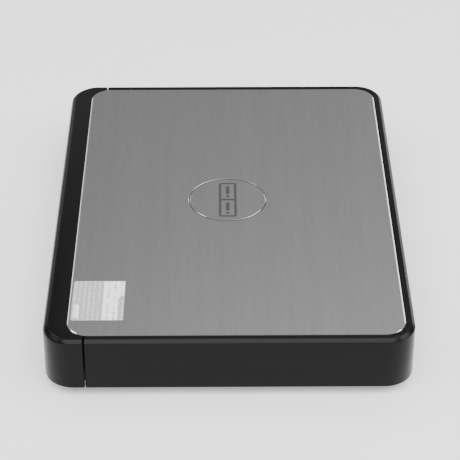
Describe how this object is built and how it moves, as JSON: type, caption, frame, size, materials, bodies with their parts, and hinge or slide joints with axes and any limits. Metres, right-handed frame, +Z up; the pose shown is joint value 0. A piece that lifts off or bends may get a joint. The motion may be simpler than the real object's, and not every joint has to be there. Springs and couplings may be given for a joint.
{
  "type": "network attached storage",
  "caption": "Slim set-top network storage unit: rounded black casing, brushed metal top plate with a ring mark, pull-off front cover over side-by-side drive trays, ports at the back.",
  "frame": {"origin": "on the table, under the middle of the casing", "axes": "+X along the front to the power button's end, +Y towards the ports, +Z up"},
  "size_m": [0.302, 0.22, 0.0413],
  "materials": {
    "casing_black": "satin black moulded",
    "brushed_alloy": "brushed along X, polished edge",
    "label_film": "printed sticker",
    "inner_plastic": "fine texture",
    "clear_guide": "clear polished",
    "zinc_sheet": "zinc plated",
    "dark_sheet": "black powder coat",
    "drive_alloy": "cast and bead blasted",
    "port_shell": "bright nickel plate",
    "board_green": "solder mask",
    "chip_black": "moulded epoxy",
    "ribbon_film": "flat cable film",
    "foot_rubber": "matt rubber",
    "screw_steel": "plated screw",
    "switch_metal": "switch case"
  },
  "bodies": {
    "chassis": {"top_plate": "brushed_alloy", "info_label": "label_film", "upper_case": "casing_black", "base_pan": "inner_plastic", "rear_panel": "dark_sheet", "front_bezel": "inner_plastic", "drive_cage": "zinc_sheet", "backplane": "board_green", "main_board": "board_green", "board_link": "inner_plastic", "processor": "chip_black", "thermal_pad": "ribbon_film", "heat_sink": "drive_alloy", "memory_module": "board_green", "lan_jack": "port_shell", "usb2_ports": "port_shell", "usb3_ports": "port_shell", "dc_jack": "inner_plastic", "coin_cell": "port_shell", "coin_cell_holder": "inner_plastic", "buzzer": "inner_plastic", "led_board": "board_green", "power_switch": "switch_metal", "led_cable": "ribbon_film", "sd_cable": "ribbon_film", "sd_board": "board_green", "sd_socket": "port_shell", "copy_switch": "chip_black", "reset_switch": "chip_black", "sata_socket_1": "inner_plastic", "sata_socket_2": "inner_plastic", "foot_1": "foot_rubber", "case_screw_1": "screw_steel", "foot_2": "foot_rubber", "case_screw_2": "screw_steel", "foot_3": "foot_rubber", "case_screw_3": "screw_steel", "foot_4": "foot_rubber", "case_screw_4": "screw_steel"},
    "cover": {"front_cover": "casing_black", "indicator_window": "clear_guide"},
    "power_key": {"power_button": "port_shell"},
    "copy_key": {"copy_button": "casing_black"},
    "reset_key": {"reset_button": "inner_plastic"},
    "bay_1": {"tray_1": "inner_plastic", "drive_1": "drive_alloy", "tray_1_lever_pin": "screw_steel", "tray_1_screw_1": "screw_steel", "tray_1_screw_2": "screw_steel", "tray_1_screw_3": "screw_steel", "tray_1_screw_4": "screw_steel"},
    "handle_1": {"tray_1_lever": "casing_black"},
    "bay_2": {"tray_2": "inner_plastic", "drive_2": "drive_alloy", "tray_2_lever_pin": "screw_steel", "tray_2_screw_1": "screw_steel", "tray_2_screw_2": "screw_steel", "tray_2_screw_3": "screw_steel", "tray_2_screw_4": "screw_steel"},
    "handle_2": {"tray_2_lever": "casing_black"}
  },
  "joints": [
    {"name": "cover_pull", "type": "slide", "parent": "chassis", "child": "cover", "axis": [0, -1, 0], "range_m": [0, 0.24]},
    {"name": "tray_1_slide", "type": "slide", "parent": "chassis", "child": "bay_1", "axis": [0, -1, 0], "range_m": [0, 0.15]},
    {"name": "tray_1_handle", "type": "hinge", "parent": "bay_1", "child": "handle_1", "pos_m": [-0.1028, -0.1016, 0.021], "axis": [0, 0, -1], "range_deg": [0, 50]},
    {"name": "tray_2_slide", "type": "slide", "parent": "chassis", "child": "bay_2", "axis": [0, -1, 0], "range_m": [0, 0.15]},
    {"name": "tray_2_handle", "type": "hinge", "parent": "bay_2", "child": "handle_2", "pos_m": [0.0077, -0.1016, 0.021], "axis": [0, 0, -1], "range_deg": [0, 50]},
    {"name": "power_press", "type": "slide", "parent": "cover", "child": "power_key", "axis": [0, 1, 0], "range_m": [0, 0.0008], "stiffness_N_per_m": 900, "springref_m": -0.0008},
    {"name": "copy_press", "type": "slide", "parent": "chassis", "child": "copy_key", "axis": [1, 0, 0], "range_m": [0, 0.0008], "stiffness_N_per_m": 900, "springref_m": -0.0008},
    {"name": "reset_press", "type": "slide", "parent": "chassis", "child": "reset_key", "axis": [0, -1, 0], "range_m": [0, 0.0006], "stiffness_N_per_m": 900, "springref_m": -0.0006}
  ],
  "couplings": [
    {"joint": "tray_1_slide", "follows": "cover_pull", "ratio": 0.625},
    {"joint": "tray_1_handle", "follows": "cover_pull", "rad_per_m": 3.636},
    {"joint": "tray_2_slide", "follows": "cover_pull", "ratio": 0.625},
    {"joint": "tray_2_handle", "follows": "cover_pull", "rad_per_m": 3.636}
  ]
}
